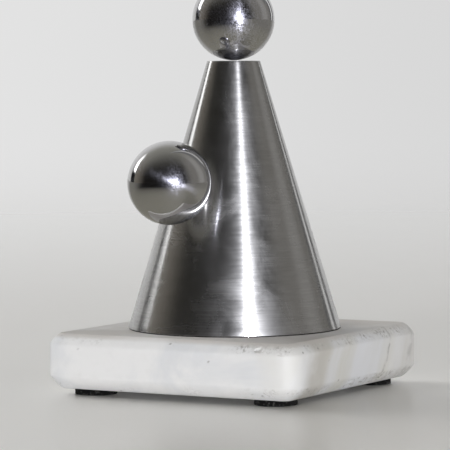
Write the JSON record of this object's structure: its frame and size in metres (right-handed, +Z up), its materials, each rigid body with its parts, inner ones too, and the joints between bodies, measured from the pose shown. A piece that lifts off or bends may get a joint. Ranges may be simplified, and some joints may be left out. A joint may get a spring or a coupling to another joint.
{
  "type": "magnetic desk sculpture",
  "caption": "Brushed steel cone on an eased square marble slab, with a polished steel ball on its flat top and another held magnetically against its side.",
  "frame": {"origin": "on the cone's axis, in the plane that the felt feet stand on", "axes": "+Z up along the cone's axis; X and Y along the sides of the slab; the side ball rests towards -Y"},
  "size_m": [0.13, 0.1323, 0.1909],
  "materials": {
    "marble": "honed white marble, clouded and thinly veined",
    "felt": "dense black felt",
    "brushed_steel": "fine brushing that runs round the cone",
    "polished_steel": "mirror polish with fine handling scratches",
    "plain_steel": "bright zinc-plated or ground steel",
    "nickel_plate": "bright nickel plate",
    "brass": "turned brass",
    "bronze": "sintered bearing bronze",
    "aluminium": "turned aluminium",
    "vulcan_fibre": "red vulcanised fibre",
    "nylon": "natural nylon",
    "black_oxide": "black oxide on steel"
  },
  "bodies": {
    "base": {"marble_base": "marble", "felt_feet": "felt", "hole_cover": "felt", "cone_gasket": "felt", "cone_shell": "brushed_steel", "top_cap": "brushed_steel", "top_magnet_cup": "plain_steel", "top_magnet": "nickel_plate", "anchor_plug": "brass", "tie_rod": "plain_steel", "centring_disc": "aluminium", "shaft_collars": "plain_steel", "collar_screws": "black_oxide", "thrust_washers": "nylon", "fibre_washer": "vulcan_fibre", "plate_washer": "plain_steel", "spring_washer": "plain_steel", "clamp_nut": "plain_steel"},
    "magnet_carrier": {"carrier_hub": "aluminium", "carrier_bushes": "bronze", "carrier_arm": "aluminium", "magnet_holder": "brass", "holder_screw": "plain_steel", "side_magnet": "nickel_plate", "pole_shoe": "plain_steel"},
    "side_ball": {"side_ball": "polished_steel"},
    "top_ball": {"top_ball": "polished_steel"}
  },
  "joints": [
    {"name": "carrier_orbit", "type": "hinge", "parent": "base", "child": "magnet_carrier", "pos_m": [0, 0, 0.08289], "axis": [0, 0, 1], "continuous": true},
    {"name": "side_ball_pull", "type": "slide", "parent": "magnet_carrier", "child": "side_ball", "axis": [-0.1265, -0.9484, 0.2908], "range_m": [0, 0.075]},
    {"name": "top_ball_lift", "type": "slide", "parent": "base", "child": "top_ball", "axis": [0, 0, 1], "range_m": [0, 0.06]}
  ]
}
